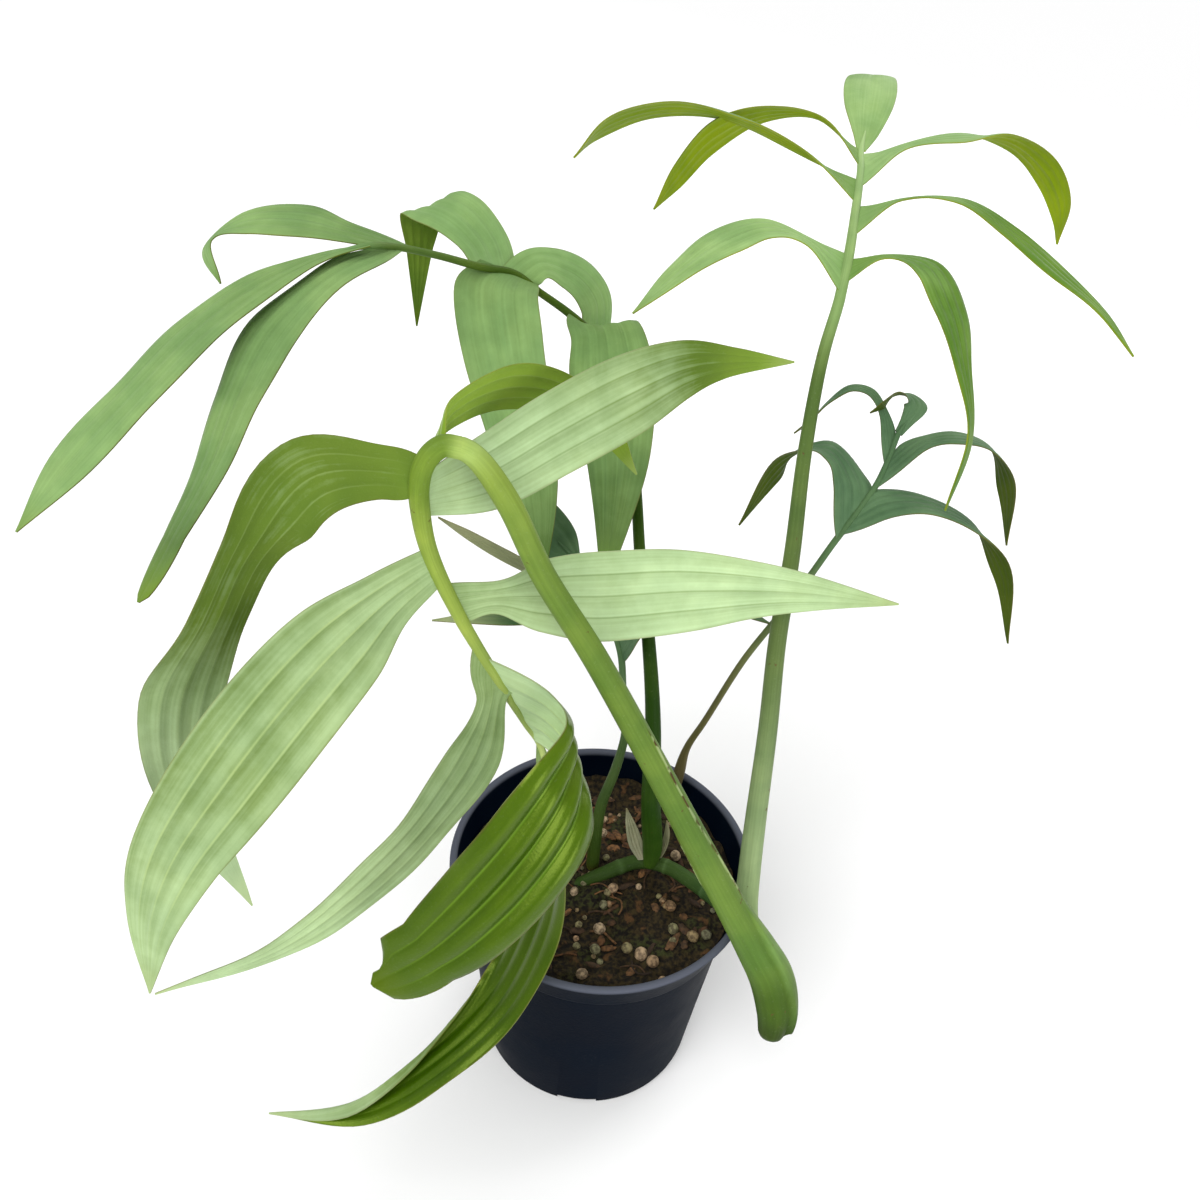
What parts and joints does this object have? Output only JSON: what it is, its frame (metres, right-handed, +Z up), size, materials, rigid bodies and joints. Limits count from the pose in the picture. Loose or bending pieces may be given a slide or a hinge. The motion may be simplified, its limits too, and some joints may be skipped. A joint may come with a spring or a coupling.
{
  "type": "potted monstera subpinnata",
  "caption": "Young pinnate climbing aroid in a round nursery pot, with arching fronds of long drooping leaflets on tall bare stalks.",
  "frame": {"origin": "centre of the pot's flat base", "axes": "+Z up out of the pot, -Y towards the side seen in the picture, +X to the right as seen from there"},
  "size_m": [0.3062, 0.2599, 0.3349],
  "materials": {
    "pot": "satin blue-black moulded plastic",
    "soil": "moist dark potting mix with pellets and bark",
    "stem": "smooth living green stalk",
    "front_leaf": "pale satin underside and glossy deep green top",
    "right_leaf": "satin green leaf",
    "back_leaf": "pale grey-green satin leaf",
    "small_leaf": "blue-green satin leaf"
  },
  "bodies": {
    "root": {"pot": "pot", "soil": "soil", "creeping_stem": "stem", "front_frond_petiole": "stem", "front_frond_blade": "front_leaf", "right_frond_petiole": "stem", "right_frond_blade": "right_leaf", "back_frond_petiole": "stem", "back_frond_blade": "back_leaf", "low_frond_petiole": "stem", "low_frond_blade": "small_leaf", "young_frond_petiole": "stem", "young_frond_blade": "small_leaf"}
  },
  "joints": []
}
